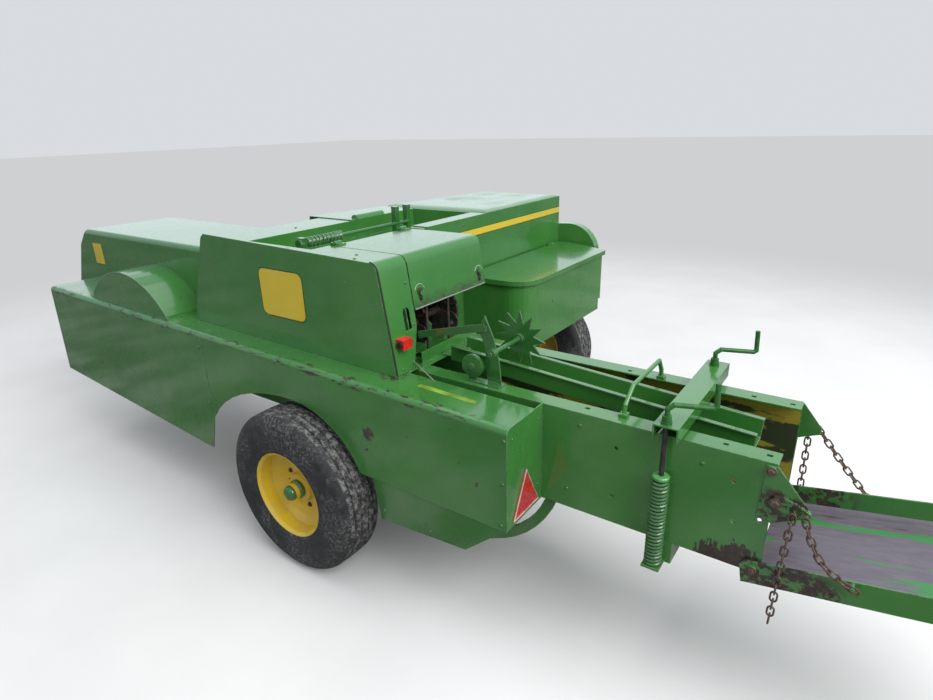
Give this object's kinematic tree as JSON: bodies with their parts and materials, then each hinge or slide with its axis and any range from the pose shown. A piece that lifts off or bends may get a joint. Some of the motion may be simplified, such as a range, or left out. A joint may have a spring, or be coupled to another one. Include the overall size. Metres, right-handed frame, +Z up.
{
  "type": "square baler",
  "caption": "Towed small square baler with side pickup, twine-tying knotters, density rail and a folding bale chute.",
  "frame": {"origin": "middle of the machine's outline, on the ground", "axes": "+X forward, in the direction of travel; +Y to the machine's left; +Z up"},
  "size_m": [6.5266, 2.408, 1.46],
  "materials": {
    "case_left": "satin",
    "case_right": "satin",
    "case_plates": "satin",
    "density_rail": "satin",
    "density_beams": "satin",
    "tension_rods": "satin",
    "tension_springs": "satin",
    "case_hoop": "satin",
    "meter_bracket": "satin",
    "star_wheel": "satin",
    "rear_ears": "satin",
    "chute": "satin",
    "hanging_chains": "satin",
    "slack_chains": "satin",
    "front_shield": "satin",
    "rear_shield": "satin",
    "lower_skirt": "satin",
    "reflectors": "gloss",
    "gear_cover": "satin",
    "side_panel": "satin",
    "top_deck": "satin",
    "spring_rod": "satin",
    "front_hood": "satin",
    "front_frame": "satin",
    "gearbox": "satin",
    "flywheel": "satin",
    "pto_shaft": "satin",
    "tongue": "satin",
    "stand_leg": "satin",
    "axle_beam": "satin",
    "left_tyre": "satin",
    "left_rim": "satin",
    "right_tyre": "satin",
    "right_rim": "satin",
    "feeder_hood": "satin",
    "chain_cover": "satin",
    "feeder_floor": "satin",
    "feeder_auger": "satin",
    "twine_box": "satin",
    "twine_lid": "satin",
    "knotter_cover": "satin",
    "knotters": "satin",
    "bale_counter": "gloss",
    "needle_yoke": "satin",
    "pickup_frame": "satin",
    "stripper_bands": "satin",
    "pickup_reel": "satin",
    "wind_guard": "satin"
  },
  "bodies": {
    "machine": {"case_left": "case_left", "case_right": "case_right", "case_plates": "case_plates", "density_rail": "density_rail", "density_beams": "density_beams", "tension_rods": "tension_rods", "tension_springs": "tension_springs", "case_hoop": "case_hoop", "meter_bracket": "meter_bracket", "rear_ears": "rear_ears", "hanging_chains": "hanging_chains", "slack_chains": "slack_chains", "front_shield": "front_shield", "rear_shield": "rear_shield", "lower_skirt": "lower_skirt", "reflectors": "reflectors", "gear_cover": "gear_cover", "side_panel": "side_panel", "top_deck": "top_deck", "spring_rod": "spring_rod", "front_hood": "front_hood", "front_frame": "front_frame", "gearbox": "gearbox", "axle_beam": "axle_beam", "feeder_hood": "feeder_hood", "chain_cover": "chain_cover", "feeder_floor": "feeder_floor", "twine_box": "twine_box", "knotters": "knotters", "bale_counter": "bale_counter", "needle_yoke": "needle_yoke"},
    "left_wheel": {"left_tyre": "left_tyre", "left_rim": "left_rim"},
    "right_wheel": {"right_tyre": "right_tyre", "right_rim": "right_rim"},
    "meter_wheel": {"star_wheel": "star_wheel"},
    "bale_chute": {"chute": "chute"},
    "knotter_lid": {"knotter_cover": "knotter_cover"},
    "twine_box_lid": {"twine_lid": "twine_lid"},
    "flywheel_rotor": {"flywheel": "flywheel"},
    "tongue_body": {"tongue": "tongue", "pto_shaft": "pto_shaft"},
    "stand": {"stand_leg": "stand_leg"},
    "auger": {"feeder_auger": "feeder_auger"},
    "pickup": {"pickup_frame": "pickup_frame", "stripper_bands": "stripper_bands", "wind_guard": "wind_guard"},
    "reel": {"pickup_reel": "pickup_reel"}
  },
  "joints": [
    {"name": "left_wheel_spin", "type": "hinge", "parent": "machine", "child": "left_wheel", "pos_m": [-0.54868, 1.093, 0.374], "axis": [0, 1, 0], "continuous": true},
    {"name": "right_wheel_spin", "type": "hinge", "parent": "machine", "child": "right_wheel", "pos_m": [-0.54868, -1.056, 0.374], "axis": [0, 1, 0], "continuous": true},
    {"name": "meter_wheel_spin", "type": "hinge", "parent": "machine", "child": "meter_wheel", "pos_m": [-1.36969, 0.618, 1.07], "axis": [0, 1, 0], "continuous": true},
    {"name": "chute_fold", "type": "hinge", "parent": "machine", "child": "bale_chute", "pos_m": [-2.31969, 0.618, 0.585], "axis": [0, 1, 0], "range_deg": [-12, 38], "deforming": ["slack_chains"]},
    {"name": "knotter_cover_open", "type": "hinge", "parent": "machine", "child": "knotter_lid", "pos_m": [-0.56168, 0.618, 1.397], "axis": [0, 1, 0], "range_deg": [0, 75]},
    {"name": "twine_lid_open", "type": "hinge", "parent": "machine", "child": "twine_box_lid", "pos_m": [-0.65968, -0.545, 1.106], "axis": [0, 1, 0], "range_deg": [0, 80]},
    {"name": "flywheel_spin", "type": "hinge", "parent": "machine", "child": "flywheel_rotor", "pos_m": [1.27832, 0.455, 0.98], "axis": [1, 0, 0], "continuous": true},
    {"name": "tongue_swing", "type": "hinge", "parent": "machine", "child": "tongue_body", "pos_m": [1.68832, 0.455, 0.495], "axis": [0, 0, 1], "range_deg": [-18, 10]},
    {"name": "stand_swing", "type": "hinge", "parent": "machine", "child": "stand", "pos_m": [1.37831, 0.095, 0.74], "axis": [0, -1, 0], "range_deg": [0, 90]},
    {"name": "auger_spin", "type": "hinge", "parent": "machine", "child": "auger", "pos_m": [-0.21169, -0.475, 0.87], "axis": [0, 1, 0], "continuous": true},
    {"name": "pickup_lift", "type": "hinge", "parent": "machine", "child": "pickup", "pos_m": [0.06832, -0.545, 0.545], "axis": [0, -1, 0], "range_deg": [-4, 14]},
    {"name": "reel_spin", "type": "hinge", "parent": "pickup", "child": "reel", "pos_m": [0.37832, -0.55, 0.42], "axis": [0, 1, 0], "continuous": true}
  ]
}
